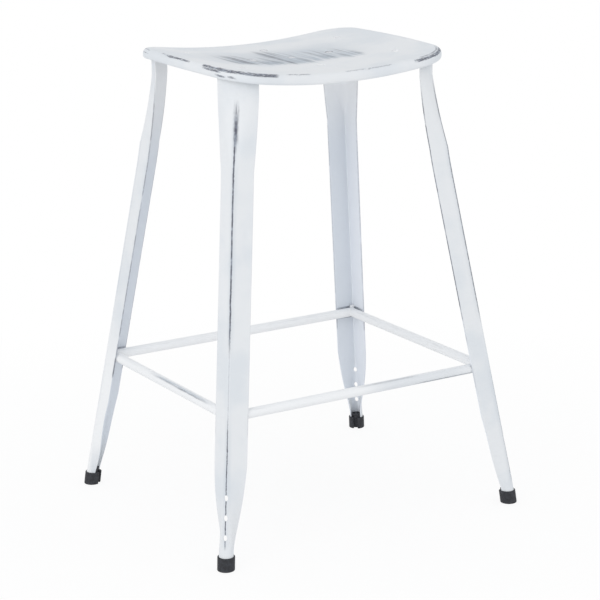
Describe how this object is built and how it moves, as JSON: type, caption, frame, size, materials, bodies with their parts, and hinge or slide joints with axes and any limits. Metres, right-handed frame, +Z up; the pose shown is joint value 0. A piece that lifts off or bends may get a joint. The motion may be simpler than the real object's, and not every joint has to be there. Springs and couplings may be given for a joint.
{
  "type": "counter stool",
  "caption": "Backless counter stool: pressed saddle seat on splayed folded-sheet legs, with a round footrest ring and rubber boots, in worn white paint.",
  "frame": {"origin": "on the floor, under the middle of the seat", "axes": "+Z up, +X along the seat's long side to the sitter's right, -Y to the front"},
  "size_m": [0.4572, 0.3962, 0.6096],
  "materials": {
    "worn_white_paint": "satin off-white paint, rubbed through to dark steel along edges and in brushed streaks",
    "black_rubber": "matt moulded rubber"
  },
  "bodies": {
    "root": {"seat_pan": "worn_white_paint", "brace_lower": "worn_white_paint", "brace_upper": "worn_white_paint", "footrest_front": "worn_white_paint", "footrest_back": "worn_white_paint", "footrest_left": "worn_white_paint", "footrest_right": "worn_white_paint", "leg_front_left": "worn_white_paint", "leg_front_right": "worn_white_paint", "leg_back_left": "worn_white_paint", "leg_back_right": "worn_white_paint", "boot_front_left": "black_rubber", "boot_front_right": "black_rubber", "boot_back_left": "black_rubber", "boot_back_right": "black_rubber"}
  },
  "joints": []
}
